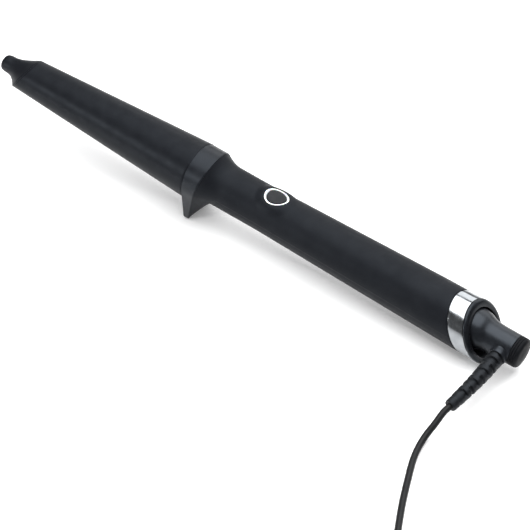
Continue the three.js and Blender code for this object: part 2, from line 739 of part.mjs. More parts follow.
// ---- Materials ------------------------------------------------------------------------------------------
const surface = (color, roughness, metalness) => ({ color, roughness, metalness });
const FINISH = {
  barrel: surface(0x141414, 0.38, 0),
  satinBlack: surface(0x101011, 0.45, 0),
  softTouch: surface(0x1a1a1b, 0.6, 0),
  gloss: surface(0x0c0c0d, 0.25, 0),
  chrome: surface(0xd8dadd, 0.08, 1),
  lightRing: surface(0xf2f4f2, 0.35, 0),
  rubber: surface(0x0e0e0e, 0.75, 0),
  aluminium: surface(0xb9bcc0, 0.4, 1),
  ceramic: surface(0xe6e2d8, 0.5, 0),
  steel: surface(0xa9abad, 0.35, 1),
  brass: surface(0xc2a15a, 0.35, 1),
  nylon: surface(0x3a3a3c, 0.6, 0),
  board: surface(0x1d5a34, 0.5, 0),
  redWire: surface(0x9a2a22, 0.5, 0),
  blueWire: surface(0x23427e, 0.5, 0),
  yellow: surface(0xc9a227, 0.5, 0),
};

function add(group, name, solid, finish) {
  const mesh = new THREE.Mesh(toGeometry(solid), new THREE.MeshStandardMaterial(FINISH[finish]));
  mesh.name = name;
  group.add(mesh);
}

// ---- Assembly -------------------------------------------------------------------------------------------
const wand = new THREE.Group();
add(wand, "barrel", makeBarrel(), "barrel");
add(wand, "cool_tip", makeCoolTip(), "satinBlack");
add(wand, "tip_clip", tube(-110.5, -109.8, 9.2, 1.5, 24), "steel");
add(wand, "tip_screw", makeScrewX(-109.5, -126, 0, 0, 1.1, 2.1), "steel");
add(wand, "carrier_upper", makeCarrier(1), "aluminium");
add(wand, "carrier_lower", makeCarrier(-1), "aluminium");
add(wand, "heater_upper", makeHeater(1), "ceramic");
add(wand, "heater_lower", makeHeater(-1), "ceramic");
add(wand, "spreader_spring", makeSpreader(), "steel");
add(wand, "temperature_sensor", barX(-98, -94, 8.4, 0, 1.1), "ceramic");
add(wand, "sensor_lead", sensorLead(), "yellow");
add(wand, "heater_lead_live", heaterLead(1), "redWire");
add(wand, "heater_lead_neutral", heaterLead(-1), "blueWire");
add(wand, "thermal_fuse", barX(-15, -4, -8, 0, 1.9), "steel");
add(wand, "heat_shield", tube(-16.4, -15.6, 14.1, 10.4, 24), "ceramic");

add(wand, "barrel_mount", makeBarrelMount(), "nylon");
add(wand, "mount_screw_left", makeScrewX(1.3, 16.5, MOUNT_SCREW_Y, 0, MOUNT_SCREW_RADIUS, 1.9), "steel");
add(wand, "mount_screw_right", makeScrewX(1.3, 16.5, -MOUNT_SCREW_Y, 0, MOUNT_SCREW_RADIUS, 1.9), "steel");
add(wand, "collar_stand", makeCollarStand(), "gloss");
add(wand, "handle_shell", makeHandleShell(), "softTouch");

add(wand, "light_ring", makeLightRing(), "lightRing");
add(wand, "button", makeButton(), "softTouch");
add(wand, "switch_plunger", barZ(BUTTON_X, 0, 4.8, 6.7, 1.8), "nylon");
add(wand, "tact_switch", makeTactSwitch(), "nylon");

add(wand, "chassis", makeChassis(), "nylon");
add(wand, "chassis_pin", barZ(30, 0, -10.6, -6.8, 0.8, 12), "steel");
add(wand, "circuit_board", makeBoard(), "board");
add(wand, "board_screw_front", makeBoardScrew(BOARD_SCREWS_X[0]), "steel");
add(wand, "board_screw_rear", makeBoardScrew(BOARD_SCREWS_X[1]), "steel");
add(wand, "ring_led", onBoard(57.6, 59.2, -0.8, 0.8, 0.9), "lightRing");
add(wand, "microcontroller", onBoard(66, 75, -4.5, 4.5, 1.2), "nylon");
add(wand, "buzzer", barZ(92, 0, BOARD_TOP_Z + GAP, 6.5, 4.5, 24), "nylon");
add(wand, "film_capacitor", onBoard(99, 112, -3, 3, 7.4), "yellow");
add(wand, "choke", barZ(127, 4, BOARD_TOP_Z + GAP, 9.2, 3.7, 24), "brass");
add(wand, "mains_fuse", barX(117, 137, -5.3, BOARD_TOP_Z + GAP + 2.3, 2.3), "ceramic");
add(wand, "triac", onBoard(135, 140.5, 1.5, 6.5, 7.4), "nylon");

add(wand, "chrome_band", makeBand(), "chrome");
add(wand, "end_cap", makeEndCap(), "satinBlack");
add(wand, "end_screw_left", makeScrewX(RECESS_FLOOR_X + GAP, 157, END_SCREW_Y, -1.9, 1, 1.9), "steel");
add(wand, "end_screw_right", makeScrewX(RECESS_FLOOR_X + GAP, 157, -END_SCREW_Y, -1.9, 1, 1.9), "steel");
add(wand, "swivel_bush", makeBush(), "nylon");
add(wand, "brush_live", makeBrush(158.2, 1), "brass");
add(wand, "brush_neutral", makeBrush(162.2, -1), "brass");

const swivel = new THREE.Group();
add(swivel, "swivel_stem", makeStem(), "satinBlack");
add(swivel, "swivel_end_cap", makeStemCap(), "satinBlack");
add(swivel, "slip_ring_live", slipRing(158.2), "brass");
add(swivel, "slip_ring_neutral", slipRing(162.2), "brass");
add(swivel, "swivel_circlip", makeCirclip(), "steel");
add(swivel, "swivel_lead_live", swivelLead(1), "redWire");
add(swivel, "swivel_lead_neutral", swivelLead(-1), "blueWire");
swivel.rotation.x = THREE.MathUtils.degToRad(BOOT_DROOP);
wand.add(swivel);

// Stand the wand on z = 0 and centre it over the origin.
wand.rotation.y = REST_TILT;
const extent = new THREE.Box3().setFromObject(wand, true);
wand.position.set(-(extent.min.x + extent.max.x) / 2, 0, -restHeight(0) * Math.cos(REST_TILT));
add(swivel, "cord_boot", makeBoot(), "rubber");

const part = new THREE.Group();
part.name = "curling_wand";
part.add(wand);
part.updateMatrixWorld(true);
const onBootAxis = (reach) => swivel.localToWorld(new THREE.Vector3(BOOT_X, -reach, 0)).toArray();

add(part, "cord", makeCord(onBootAxis(BOOT_END + 2 * GAP), onBootAxis(BOOT_END + 5)), "rubber");
add(part, "cord_coil", makeCoil(), "rubber");
add(part, "cord_tie", makeTie(), "rubber");
add(part, "cord_tail", makeTail(), "rubber");
add(part, "plug_body", makePlugBody(), "rubber");
add(part, "plug_pin_left", makePin(1), "brass");
add(part, "plug_pin_right", makePin(-1), "brass");

export default part;
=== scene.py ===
import json
import math

import bmesh
import bpy
from mathutils import Matrix, Vector


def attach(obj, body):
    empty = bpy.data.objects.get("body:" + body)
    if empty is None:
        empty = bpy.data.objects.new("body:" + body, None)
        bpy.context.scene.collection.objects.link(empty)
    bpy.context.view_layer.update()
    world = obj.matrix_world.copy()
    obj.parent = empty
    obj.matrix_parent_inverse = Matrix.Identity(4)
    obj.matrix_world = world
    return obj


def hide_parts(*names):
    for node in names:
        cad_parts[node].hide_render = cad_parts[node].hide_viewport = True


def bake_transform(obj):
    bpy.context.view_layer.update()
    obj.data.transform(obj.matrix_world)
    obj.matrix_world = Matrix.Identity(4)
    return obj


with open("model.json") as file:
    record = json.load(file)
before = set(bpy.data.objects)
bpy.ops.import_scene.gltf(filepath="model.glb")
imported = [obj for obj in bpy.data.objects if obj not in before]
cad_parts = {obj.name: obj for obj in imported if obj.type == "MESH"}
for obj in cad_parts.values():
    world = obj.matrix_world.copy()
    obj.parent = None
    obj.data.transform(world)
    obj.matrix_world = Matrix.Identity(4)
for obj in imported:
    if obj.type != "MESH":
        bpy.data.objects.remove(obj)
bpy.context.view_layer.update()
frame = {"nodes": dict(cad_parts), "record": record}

# The wand is drawn lying along X, in millimetres, with its centre line on the X axis and the button on +Z.
# row() takes such a point to the row frame, in metres: the wand leans REST_TILT, tip up, on its foot and
# its band.
REST_TILT = math.radians(3.56)
SHIFT = Vector((-38.275, 0.0, 28.3527))
TILT = Matrix.Rotation(REST_TILT, 3, "Y")
DROOP = Matrix.Rotation(math.radians(5.0), 3, "X")


def row(p):
    return (TILT @ Vector(p) + SHIFT) / 1000


def swivel_row(p):
    return row(DROOP @ Vector(p))


def millimetres(p):
    return Vector(p) / 1000


# ---- Camera ----------------------------------------------------------------------------------------------
def add_camera():
    right = Vector((0.82016, 0.57086, 0.03824)).normalized()
    back = Vector((0.38341, -0.59799, 0.70384)).normalized()
    up = back.cross(right).normalized()
    data = bpy.data.cameras.new("camera")
    data.lens = 197.09
    data.sensor_width = 36.0
    data.clip_end = 20.0
    camera = bpy.data.objects.new("camera", data)
    turn = Matrix((right, up, back)).transposed().to_4x4()
    camera.matrix_world = Matrix.Translation(Vector((0.632861, -0.973017, 1.128058))) @ turn
    bpy.context.scene.collection.objects.link(camera)
    bpy.context.scene.camera = camera


# ---- Mesh helpers ----------------------------------------------------------------------------------------
def new_object(name, verts, faces, sharp=32.0):
    mesh = bpy.data.meshes.new(name)
    mesh.from_pydata([tuple(v) for v in verts], [], faces)
    obj = bpy.data.objects.new(name, mesh)
    bpy.context.scene.collection.objects.link(obj)
    tidy_mesh(obj, sharp)
    return obj


def tidy_mesh(obj, sharp=32.0):
    """Normals outwards, smooth faces, and a crisp line where the surface turns by more than sharp degrees."""
    bm = bmesh.new()
    bm.from_mesh(obj.data)
    bmesh.ops.remove_doubles(bm, verts=bm.verts, dist=2e-6)
    bmesh.ops.recalc_face_normals(bm, faces=bm.faces)
    bm.to_mesh(obj.data)
    bm.free()
    obj.data.shade_smooth()
    obj.data.set_sharp_from_angle(angle=math.radians(sharp))


def loft(name, rings, place, closed=False, sharp=32.0):
    """Rings of points with equal counts, joined in order. An open loft gets a cap on each end."""
    count = len(rings[0])
    verts = [place(p) for ring in rings for p in ring]
    last = len(rings) if closed else len(rings) - 1
    faces = []
    for i in range(last):
        a, b = i * count, ((i + 1) % len(rings)) * count
        for j in range(count):
            k = (j + 1) % count
            faces.append((a + j, a + k, b + k, b + j))
    if not closed:
        for start in (0, (len(rings) - 1) * count):
            centre = sum((verts[start + j] for j in range(count)), Vector()) / count
            verts.append(centre)
            faces += [(start + j, start + (j + 1) % count, len(verts) - 1) for j in range(count)]
    return new_object(name, verts, faces, sharp)


def around(radius_x, segments):
    """A ring about X: radius_x takes an angle (0 along +Y, 90 degrees at +Z) and gives (x, radius)."""
    ring = []
    for j in range(segments):
        a = 2 * math.pi * j / segments
        x, r = radius_x(a)
        ring.append(Vector((x, r * math.cos(a), r * math.sin(a))))
    return ring


def turned(name, profile, place=row, segments=96, closed=True, sharp=32.0, slant=0.0):
    """A turned piece about X from (x, radius) points. slant shears it: x shifts by slant times height."""
    rings = [around(lambda a, x=x, r=r: (x + slant * r * math.sin(a), r), segments) for x, r in profile]
    return loft(name, rings, place, closed, sharp)


def rounded(points, radius, steps=4):
    """The same open outline with its inner corners eased. A third value is a point's own radius."""
    out = [Vector(points[0][:2])]
    for before, here, after in zip(points, points[1:], points[2:]):
        r = here[2] if len(here) > 2 else radius
        b, h, a = Vector(before[:2]), Vector(here[:2]), Vector(after[:2])
        r = min(r, 0.45 * (b - h).length, 0.45 * (a - h).length)
        p, q = h + (b - h).normalized() * r, h + (a - h).normalized() * r
        if r < 1e-6:
            out.append(h)
            continue
        for i in range(steps + 1):
            t = i / steps
            out.append((1 - t) ** 2 * p + 2 * t * (1 - t) * h + t * t * q)
    out.append(Vector(points[-1][:2]))
    return [tuple(v) for v in out]


def smooth_path(points, spacing):
    """A centripetal Catmull-Rom curve through the points, resampled at even spacing."""
    pts = [Vector(p) for p in points]
    pts = [2 * pts[0] - pts[1]] + pts + [2 * pts[-1] - pts[-2]]
    dense = []
    for p0, p1, p2, p3 in zip(pts, pts[1:], pts[2:], pts[3:]):
        knots = [0.0]
        for a, b in ((p0, p1), (p1, p2), (p2, p3)):
            knots.append(knots[-1] + max((b - a).length, 1e-6) ** 0.5)
        t0, t1, t2, t3 = knots
        for i in range(24):
            t = t1 + (t2 - t1) * i / 24
            a1 = p0 * ((t1 - t) / (t1 - t0)) + p1 * ((t - t0) / (t1 - t0))
            a2 = p1 * ((t2 - t) / (t2 - t1)) + p2 * ((t - t1) / (t2 - t1))
            a3 = p2 * ((t3 - t) / (t3 - t2)) + p3 * ((t - t2) / (t3 - t2))
            b1 = a1 * ((t2 - t) / (t2 - t0)) + a2 * ((t - t0) / (t2 - t0))
            b2 = a2 * ((t3 - t) / (t3 - t1)) + a3 * ((t - t1) / (t3 - t1))
            dense.append(b1 * ((t2 - t) / (t2 - t1)) + b2 * ((t - t1) / (t2 - t1)))
    dense.append(pts[-2])
    return resample(dense, spacing)


def resample(dense, spacing):
    run = [0.0]
    for a, b in zip(dense, dense[1:]):
        run.append(run[-1] + (b - a).length)
    count = max(2, round(run[-1] / spacing))
    out, i = [], 0
    for n in range(count + 1):
        at = run[-1] * n / count
        while i < len(dense) - 2 and run[i + 1] < at:
            i += 1
        step = run[i + 1] - run[i]
        out.append(dense[i].lerp(dense[i + 1], 0 if step < 1e-9 else (at - run[i]) / step))
    return out


def frames_along(path):
    """Each point's tangent and two normals that turn as little as they can."""
    tangents = []
    for i in range(len(path)):
        a, b = path[max(0, i - 1)], path[min(len(path) - 1, i + 1)]
        tangents.append((b - a).normalized())
    side = tangents[0].cross(Vector((0, 0, 1)))
    side = side.normalized() if side.length > 1e-3 else Vector((1, 0, 0))
    found = []
    for t in tangents:
        side = (side - t * side.dot(t)).normalized()
        found.append((t, side, t.cross(side)))
    return found


def tube_rings(path, radius_at, sides):
    rings = []
    for i, (p, (_, u, v)) in enumerate(zip(path, frames_along(path))):
        r = radius_at(i)
        angles = [2 * math.pi * j / sides for j in range(sides)]
        rings.append([p + u * (r * math.cos(a)) + v * (r * math.sin(a)) for a in angles])
    return rings


def joined(name, pieces, sharp=32.0):
    """Several meshes as one object."""
    bm = bmesh.new()
    for piece in pieces:
        bm.from_mesh(piece.data)
    mesh = bpy.data.meshes.new(name)
    bm.to_mesh(mesh)
    bm.free()
    for piece in pieces:
        old = piece.data
        bpy.data.objects.remove(piece)
        bpy.data.meshes.remove(old)
    obj = bpy.data.objects.new(name, mesh)
    bpy.context.scene.collection.objects.link(obj)
    obj.data.shade_smooth()
    obj.data.set_sharp_from_angle(angle=math.radians(sharp))
    return obj


def carve(obj, cutter, operation="DIFFERENCE", sharp=32.0):
    """Applies one boolean and removes the cutter."""
    modifier = obj.modifiers.new("cut", "BOOLEAN")
    modifier.operation = operation
    modifier.solver = "EXACT"
    modifier.object = cutter
    bpy.context.view_layer.update()
    evaluated = obj.evaluated_get(bpy.context.evaluated_depsgraph_get())
    result = bpy.data.meshes.new_from_object(evaluated)
    obj.modifiers.clear()
    obj.data = result
    bpy.data.objects.remove(cutter)
    obj.data.shade_smooth()
    obj.data.set_sharp_from_angle(angle=math.radians(sharp))
    return obj


def stand(obj, body, material, slot, *nodes):
    """Finishes a piece: its body, its material and the CAD nodes it stands for. The slot argument is not used.
    """
    obj.data.materials.clear()
    obj.data.materials.append(material)
    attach(obj, body)
    if nodes:
        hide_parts(*nodes)
    return obj


# ---- Materials -------------------------------------------------------------------------------------------
class Surface:
    """A Principled material built from noise layers, in object coordinates, with sizes in metres."""

    def __init__(self, name, color, roughness, metallic=0.0):
        self.material = bpy.data.materials.new(name)
        self.material.use_nodes = True
        self.tree = self.material.node_tree
        self.shader = self.tree.nodes["Principled BSDF"]
        self.place = self.tree.nodes.new("ShaderNodeTexCoord").outputs["Object"]
        self.color = color
        self.set("Base Color", (*color, 1))
        self.set("Roughness", roughness)
        self.set("Metallic", metallic)
        self.height = None

    def set(self, socket, value):
        self.shader.inputs[socket].default_value = value
        return self

    def node(self, kind, **values):
        made = self.tree.nodes.new(kind)
        for key, value in values.items():
            setattr(made, key, value)
        return made

    def link(self, a, b):
        self.tree.links.new(a, b)

    def noise(self, size, detail=2.0, stretch=(1, 1, 1), rough=0.5):
        mapping = self.node("ShaderNodeMapping")
        mapping.inputs["Scale"].default_value = [s / size for s in stretch]
        self.link(self.place, mapping.inputs["Vector"])
        noise = self.node("ShaderNodeTexNoise")
        noise.inputs["Scale"].default_value = 1.0
        noise.inputs["Detail"].default_value = detail
        noise.inputs["Roughness"].default_value = rough
        self.link(mapping.outputs["Vector"], noise.inputs["Vector"])
        return noise.outputs["Fac"]

    def spread(self, value, low, high):
        """Maps a noise, whose useful span is 0.3 to 0.7, to low..high."""
        made = self.node("ShaderNodeMapRange")
        made.inputs["From Min"].default_value = 0.3
        made.inputs["From Max"].default_value = 0.7
        made.inputs["To Min"].default_value = low
        made.inputs["To Max"].default_value = high
        self.link(value, made.inputs["Value"])
        return made.outputs["Result"]

    def vary_roughness(self, size, low, high, stretch=(1, 1, 1)):
        self.link(self.spread(self.noise(size, 3, stretch), low, high), self.shader.inputs["Roughness"])
        return self

    def vary_color(self, other, size, detail=3.0, stretch=(1, 1, 1)):
        mix = self.node("ShaderNodeMix", data_type="RGBA")
        mix.inputs[6].default_value = (*self.color, 1)
        mix.inputs[7].default_value = (*other, 1)
        self.link(self.spread(self.noise(size, detail, stretch), 0, 1), mix.inputs[0])
        self.link(mix.outputs[2], self.shader.inputs["Base Color"])
        return self

    def bump(self, size, depth, strength=1.0, detail=2.0, stretch=(1, 1, 1)):
        """depth is the relief's height in metres. A second call adds a finer or coarser layer."""
        made = self.node("ShaderNodeBump")
        made.inputs["Strength"].default_value = strength
        made.inputs["Distance"].default_value = depth
        self.link(self.noise(size, detail, stretch), made.inputs["Height"])
        if self.height is not None:
            self.link(self.height, made.inputs["Normal"])
        self.height = made.outputs["Normal"]
        self.link(self.height, self.shader.inputs["Normal"])
        return self


def build_materials():
    made = {}
    cool = (0.78, 0.88, 1.0, 1.0)
    barrel = Surface("barrel_enamel", (0.006, 0.0066, 0.0085), 0.42)
    barrel.vary_color((0.009, 0.0098, 0.012), 0.006).vary_roughness(0.004, 0.39, 0.46)
    barrel.bump(0.0004, 0.00001, 0.5).bump(0.00012, 0.000004, 0.4)
    made["barrel"] = barrel.set("Specular Tint", cool).set("Specular IOR Level", 0.1).material

    tip = Surface("tip_plastic", (0.006, 0.0066, 0.0085), 0.45)
    tip.vary_color((0.009, 0.0098, 0.012), 0.004).vary_roughness(0.002, 0.38, 0.46).bump(0.0003, 0.00001, 0.5)
    made["tip"] = tip.set("Specular Tint", cool).set("Specular IOR Level", 0.14).material

    handle = Surface("handle_soft_touch", (0.006, 0.0066, 0.0085), 0.5)
    handle.vary_color((0.009, 0.0098, 0.012), 0.01).vary_roughness(0.006, 0.46, 0.54)
    handle.bump(0.00035, 0.000012, 0.6).bump(0.0001, 0.000004, 0.5)
    made["handle"] = handle.set("Specular Tint", cool).set("Specular IOR Level", 0.11).material

    collar = Surface("collar_gloss", (0.007, 0.0078, 0.01), 0.36)
    collar.vary_color((0.01, 0.011, 0.0135), 0.006).vary_roughness(0.003, 0.32, 0.42)
    collar.bump(0.0004, 0.000008, 0.5)
    made["collar"] = collar.set("Specular Tint", cool).set("Specular IOR Level", 0.2).material

    cap = Surface("button_soft_touch", (0.008, 0.0088, 0.011), 0.5)
    cap.vary_color((0.012, 0.013, 0.0155), 0.002).vary_roughness(0.001, 0.46, 0.56).bump(0.0003, 0.00001, 0.6)
    made["button"] = cap.set("Specular IOR Level", 0.2).material

    ring = Surface("ring_light_pipe", (0.82, 0.83, 0.83), 0.35)
    ring.vary_color((0.9, 0.91, 0.91), 0.002).vary_roughness(0.001, 0.3, 0.4).bump(0.0004, 0.000005, 0.4)
    ring.set("Emission Color", (0.95, 0.98, 1.0, 1)).set("Emission Strength", 0.35)
    made["ring"] = ring.set("Subsurface Weight", 0.2).set("Subsurface Scale", 0.001).material

    chrome = Surface("band_chrome", (0.33, 0.345, 0.36), 0.15, 1.0)
    chrome.vary_color((0.28, 0.295, 0.31), 0.004).vary_roughness(0.003, 0.12, 0.2)
    chrome.bump(0.0008, 0.000002, 0.3, stretch=(0.2, 1, 1))
    made["chrome"] = chrome.material

    end = Surface("end_satin", (0.006, 0.0066, 0.008), 0.3)
    end.vary_color((0.009, 0.0098, 0.012), 0.003).vary_roughness(0.002, 0.26, 0.34).bump(0.0003, 0.00001, 0.5)
    made["end"] = end.set("Specular Tint", cool).set("Specular IOR Level", 0.25).material

    stem = Surface("stem_satin", (0.007, 0.0077, 0.0095), 0.34)
    stem.vary_color((0.01, 0.011, 0.0135), 0.004).vary_roughness(0.002, 0.3, 0.4).bump(0.0003, 0.00001, 0.5)
    made["stem"] = stem.set("Specular Tint", cool).set("Specular IOR Level", 0.36).material

    # The end cap gets a darker, barely reflective copy of the stem's satin plastic: painted shade, so its end
    # face stays dark instead of showing the bright floor.
    stem_cap = Surface("stem_cap_satin_painted_shade", (0.005, 0.0055, 0.007), 0.5)
    stem_cap.vary_color((0.008, 0.0088, 0.0105), 0.003).vary_roughness(0.002, 0.46, 0.54)
    stem_cap.bump(0.0003, 0.00001, 0.5)
    made["stem_cap"] = stem_cap.set("Specular IOR Level", 0.06).material

    boot = Surface("boot_rubber", (0.006, 0.0063, 0.0072), 0.45)
    boot.vary_color((0.01, 0.0105, 0.012), 0.003).vary_roughness(0.0015, 0.42, 0.58)
    boot.bump(0.0003, 0.00002, 0.6)
    made["boot"] = boot.set("Specular Tint", cool).set("Specular IOR Level", 0.2).material

    lead = Surface("lead_rubber", (0.007, 0.0073, 0.008), 0.45)
    lead.vary_color((0.011, 0.0115, 0.0125), 0.008).vary_roughness(0.003, 0.4, 0.52)
    lead.bump(0.0006, 0.00002, 0.5)
    made["lead"] = lead.set("Specular IOR Level", 0.2).material

    strap = Surface("tie_strap", (0.02, 0.02, 0.021), 0.8)
    strap.vary_color((0.035, 0.035, 0.036), 0.0008).vary_roughness(0.001, 0.75, 0.9).bump(0.0005, 0.0001, 0.8)
    made["strap"] = strap.material

    plug = Surface("plug_plastic", (0.008, 0.0085, 0.01), 0.45)
    plug.vary_color((0.012, 0.0127, 0.0145), 0.006).vary_roughness(0.003, 0.38, 0.5)
    plug.bump(0.0004, 0.00002, 0.6)
    made["plug"] = plug.set("Specular IOR Level", 0.25).material

    nickel = Surface("pin_nickel", (0.72, 0.7, 0.64), 0.22, 1.0)
    nickel.vary_color((0.66, 0.63, 0.56), 0.002).vary_roughness(0.001, 0.16, 0.32)
    made["nickel"] = nickel.bump(0.0002, 0.000004, 0.5, stretch=(0.1, 1, 1)).material

    inner = {
        "bare_aluminium": ((0.6, 0.61, 0.63), 0.4, 1.0),
        "ceramic": ((0.8, 0.78, 0.72), 0.6, 0.0),
        "steel": ((0.5, 0.51, 0.52), 0.35, 1.0),
        "brass": ((0.66, 0.5, 0.26), 0.35, 1.0),
        "black_nylon": ((0.05, 0.05, 0.055), 0.55, 0.0),
        "board_green": ((0.03, 0.14, 0.06), 0.4, 0.0),
        "red_insulation": ((0.35, 0.04, 0.03), 0.5, 0.0),
        "blue_insulation": ((0.03, 0.07, 0.26), 0.5, 0.0),
        "yellow_plastic": ((0.6, 0.42, 0.05), 0.4, 0.0),
        "light_pipe": ((0.85, 0.86, 0.86), 0.4, 0.0),
    }
    for slot, (color, roughness, metallic) in inner.items():
        surface = Surface("inner_" + slot, color, roughness, metallic)
        surface.vary_color(tuple(0.8 * c for c in color), 0.003)
        surface.vary_roughness(0.002, roughness - 0.06, roughness + 0.08)
        made[slot] = surface.bump(0.0005, 0.00002, 0.5).material
    return made


# ---- Outer surfaces --------------------------------------------------------------------------------------
SLANT = 0.548
TIP_X = -121.1
BARREL_R = 16.8
BARREL_TAPER = 0.0534
NECK_R = 12.75
TAPER_FROM_X = 46.0
HANDLE_TAPER = 0.023
COLLAR_R = 16.65
COLLAR_TOP_X = 12.0
REAR_LEAN = 0.2
FOOT_Z = -28.7
FOOT_HALF = 10.9
BUTTON_X = 52.0
BAND_FRONT_X = 177.0
BAND_REAR_X = 186.7
END_FACE_X = 189.2
STEM_R = 8.66
BOOT_X = 203.0


def barrel_radius(x):
    return BARREL_R + BARREL_TAPER * x


def handle_radius(x):
    return NECK_R + HANDLE_TAPER * max(0.0, x - TAPER_FROM_X)


RIM_X = (BAND_REAR_X + SLANT * handle_radius(0)) / (1 - SLANT * HANDLE_TAPER)


def rest_height(x):
    return -handle_radius(RIM_X) + (x - RIM_X) * math.tan(REST_TILT)


def collar_rear(z):
    return COLLAR_TOP_X - REAR_LEAN * (COLLAR_R - z)


def ease(t):
    t = min(1.0, max(0.0, t))
    return t * t * (3 - 2 * t)


def soft_min(a, b, k):
    h = max(k - abs(a - b), 0.0) / k
    return min(a, b) - h * h * k / 4


def soft_max(a, b, k):
    return -soft_min(-a, -b, k)


def collar_outline(steps=220):
    """The collar seen along X, evenly spaced points: a circle and two straight sides down to a flat foot."""
    corner = math.atan2(-FOOT_Z, FOOT_HALF)
    tangent = corner - math.acos(COLLAR_R / math.hypot(FOOT_HALF, FOOT_Z))
    arc = []
    count = 120
    for i in range(count + 1):
        arc.append(-tangent + (math.pi + 2 * tangent) * i / count)
    pts = [Vector((COLLAR_R * math.cos(a), COLLAR_R * math.sin(a))) for a in arc]
    left = [pts[-1], Vector((-FOOT_HALF, FOOT_Z)), Vector((0, FOOT_Z))]
    eased = rounded([tuple(v) for v in left], 2.6, 10)
    pts += [Vector(v) for v in eased[1:]]
    right = [Vector((-p.x, p.y)) for p in pts[count + 1 :]]
    pts += list(reversed(right))[1:]
    pts.append(pts[0].copy())
    return resample([Vector((p.x, p.y, 0)) for p in pts], 1.0)[:-1]


def collar_reach(angle):
    corner = math.atan2(-FOOT_Z, FOOT_HALF)
    tangent = corner - math.acos(COLLAR_R / math.hypot(FOOT_HALF, FOOT_Z))
    below = math.atan2(-math.sin(angle), abs(math.cos(angle)))
    if below <= tangent:
        return COLLAR_R
    side = COLLAR_R / math.cos(below - tangent)
    return soft_min(side, -FOOT_Z / max(math.sin(below), 1e-6), 2.0)


def pad_height(x, angle):
    if math.sin(angle) <= 0:
        return 0.0
    across = handle_radius(x) * abs(math.pi / 2 - angle)
    return 1.05 * (1 - ease((math.hypot(x - BUTTON_X, across) - 7.4) / 5.5))


def handle_surface(x, angle):
    reach = collar_reach(angle)
    start = collar_rear(reach * math.sin(angle))
    blend = min(1.0, max(0.0, (x - start) / (23.0 - start)))
    base = handle_radius(x)
    flared = base + (reach - base) * (1 - blend) ** 2
    down = -math.sin(angle)
    if down > 0.02:
        underside = max(0.0, -FOOT_Z - 1.6 * max(0.0, x - 2.6)) / down
        flared = soft_min(flared, underside, 2.4)
    return soft_max(flared, base, 0.8) + pad_height(x, angle)


# ---- Barrel and tip --------------------------------------------------------------------------------------
def slanted_ring(x, r, slant, segments):
    return around(lambda a: (x + slant * r * math.sin(a), r), segments)


def make_barrel():
    segments = 128

    def front(dx, inset):
        def radius_x(a):
            r = barrel_radius(TIP_X)
            for _ in range(4):
                x = TIP_X + dx + SLANT * r * math.sin(a)
                r = barrel_radius(x)
            return x, r - inset

        return around(radius_x, segments)

    def level(x, inset):
        return slanted_ring(x, barrel_radius(x) - inset, 0.0, segments)

    rings = [level(0.2, 0.15), level(0.17, 0.04), level(0.1, 0.0), level(-1.2, 0.0)]
    rings += [level(x, 0.0) for x in range(-10, -110, -10)]
    rings += [front(1.2, 0), front(0.12, 0), front(0.02, 0.05), front(0, 0.2), front(0, 1.2)]
    rings += [level(-100, 1.2), level(-40, 1.2), level(0.0, 1.2)]
    return loft("barrel_shell", rings, row, closed=True)


def make_tip():
    segments = 96
    flare = [
        (4, 7.9, 1.0),
        (-0.03, 7.9, 1.0),
        (-0.03, 10.1, 1.0),
        (-0.06, 10.32, 1.0),
        (-0.3, 10.3, 1.0),
        (-0.8, 10.05, 0.98),
        (-1.6, 9.45, 0.92),
        (-2.6, 8.66, 0.84),
        (-3.8, 7.82, 0.72),
        (-5.0, 7.06, 0.58),
        (-6.2, 6.38, 0.44),
        (-7.4, 5.84, 0.3),
        (-8.6, 5.46, 0.18),
        (-9.8, 5.24, 0.08),
        (-11.0, 5.14, 0.0),
        (-12.2, 5.1, 0.0),
    ]
    rings = [slanted_ring(TIP_X + dx, r, k * SLANT, segments) for dx, r, k in flare]
    nub = [
        (-133.9, 5.02),
        (-135.1, 4.86),
        (-136.0, 4.54),
        (-136.6, 4.02),
        (-137.0, 3.3),
        (-137.22, 2.3),
        (-137.3, 1.0),
    ]
    rings += [slanted_ring(x, r, 0.0, segments) for x, r in nub]
    return loft("tip_moulding", rings, row)


# ---- Collar and handle -----------------------------------------------------------------------------------
def make_collar():
    outline = collar_outline()
    count = len(outline)
    normals = []
    for i in range(count):
        along = outline[(i + 1) % count] - outline[i - 1]
        normals.append(Vector((along.y, -along.x, 0)).normalized())
    if normals[0].dot(outline[0]) < 0:
        normals = [-n for n in normals]

    def ring(x_at, inset):
        pts = []
        for p, n in zip(outline, normals):
            q = p - n * inset
            x = x_at(q.y)
            pts.append(Vector((x, q.x, max(q.y, rest_height(x)))))
        return pts

    def bore(x_at):
        pts = []
        for p in outline:
            a = math.atan2(p.y, p.x)
            y, z = 14.6 * math.cos(a), 14.6 * math.sin(a)
            pts.append(Vector((x_at(z), y, z)))
        return pts

    front = 0.22
    rings = [bore(lambda z: front), ring(lambda z: front, 1.6)]
    edge = ((0.0, 0.15), (0.02, 0.04), (0.06, 0.0), (0.2, 0), (1.2, 0))
    rings += [ring(lambda z, d=d: front + d, i) for d, i in edge]
    rings += [ring(lambda z: 0.5 * (front + collar_rear(z)), 0)]
    rear = ((1.0, 0.0), (0.3, 0.0), (0.12, 0.03), (0.03, 0.12), (0.0, 0.3))
    rings += [ring(lambda z, d=d: collar_rear(z) - d, i) for d, i in rear]
    rings += [ring(collar_rear, 1.6), bore(collar_rear)]
    return loft("collar_moulding", rings, row, closed=True, sharp=40)


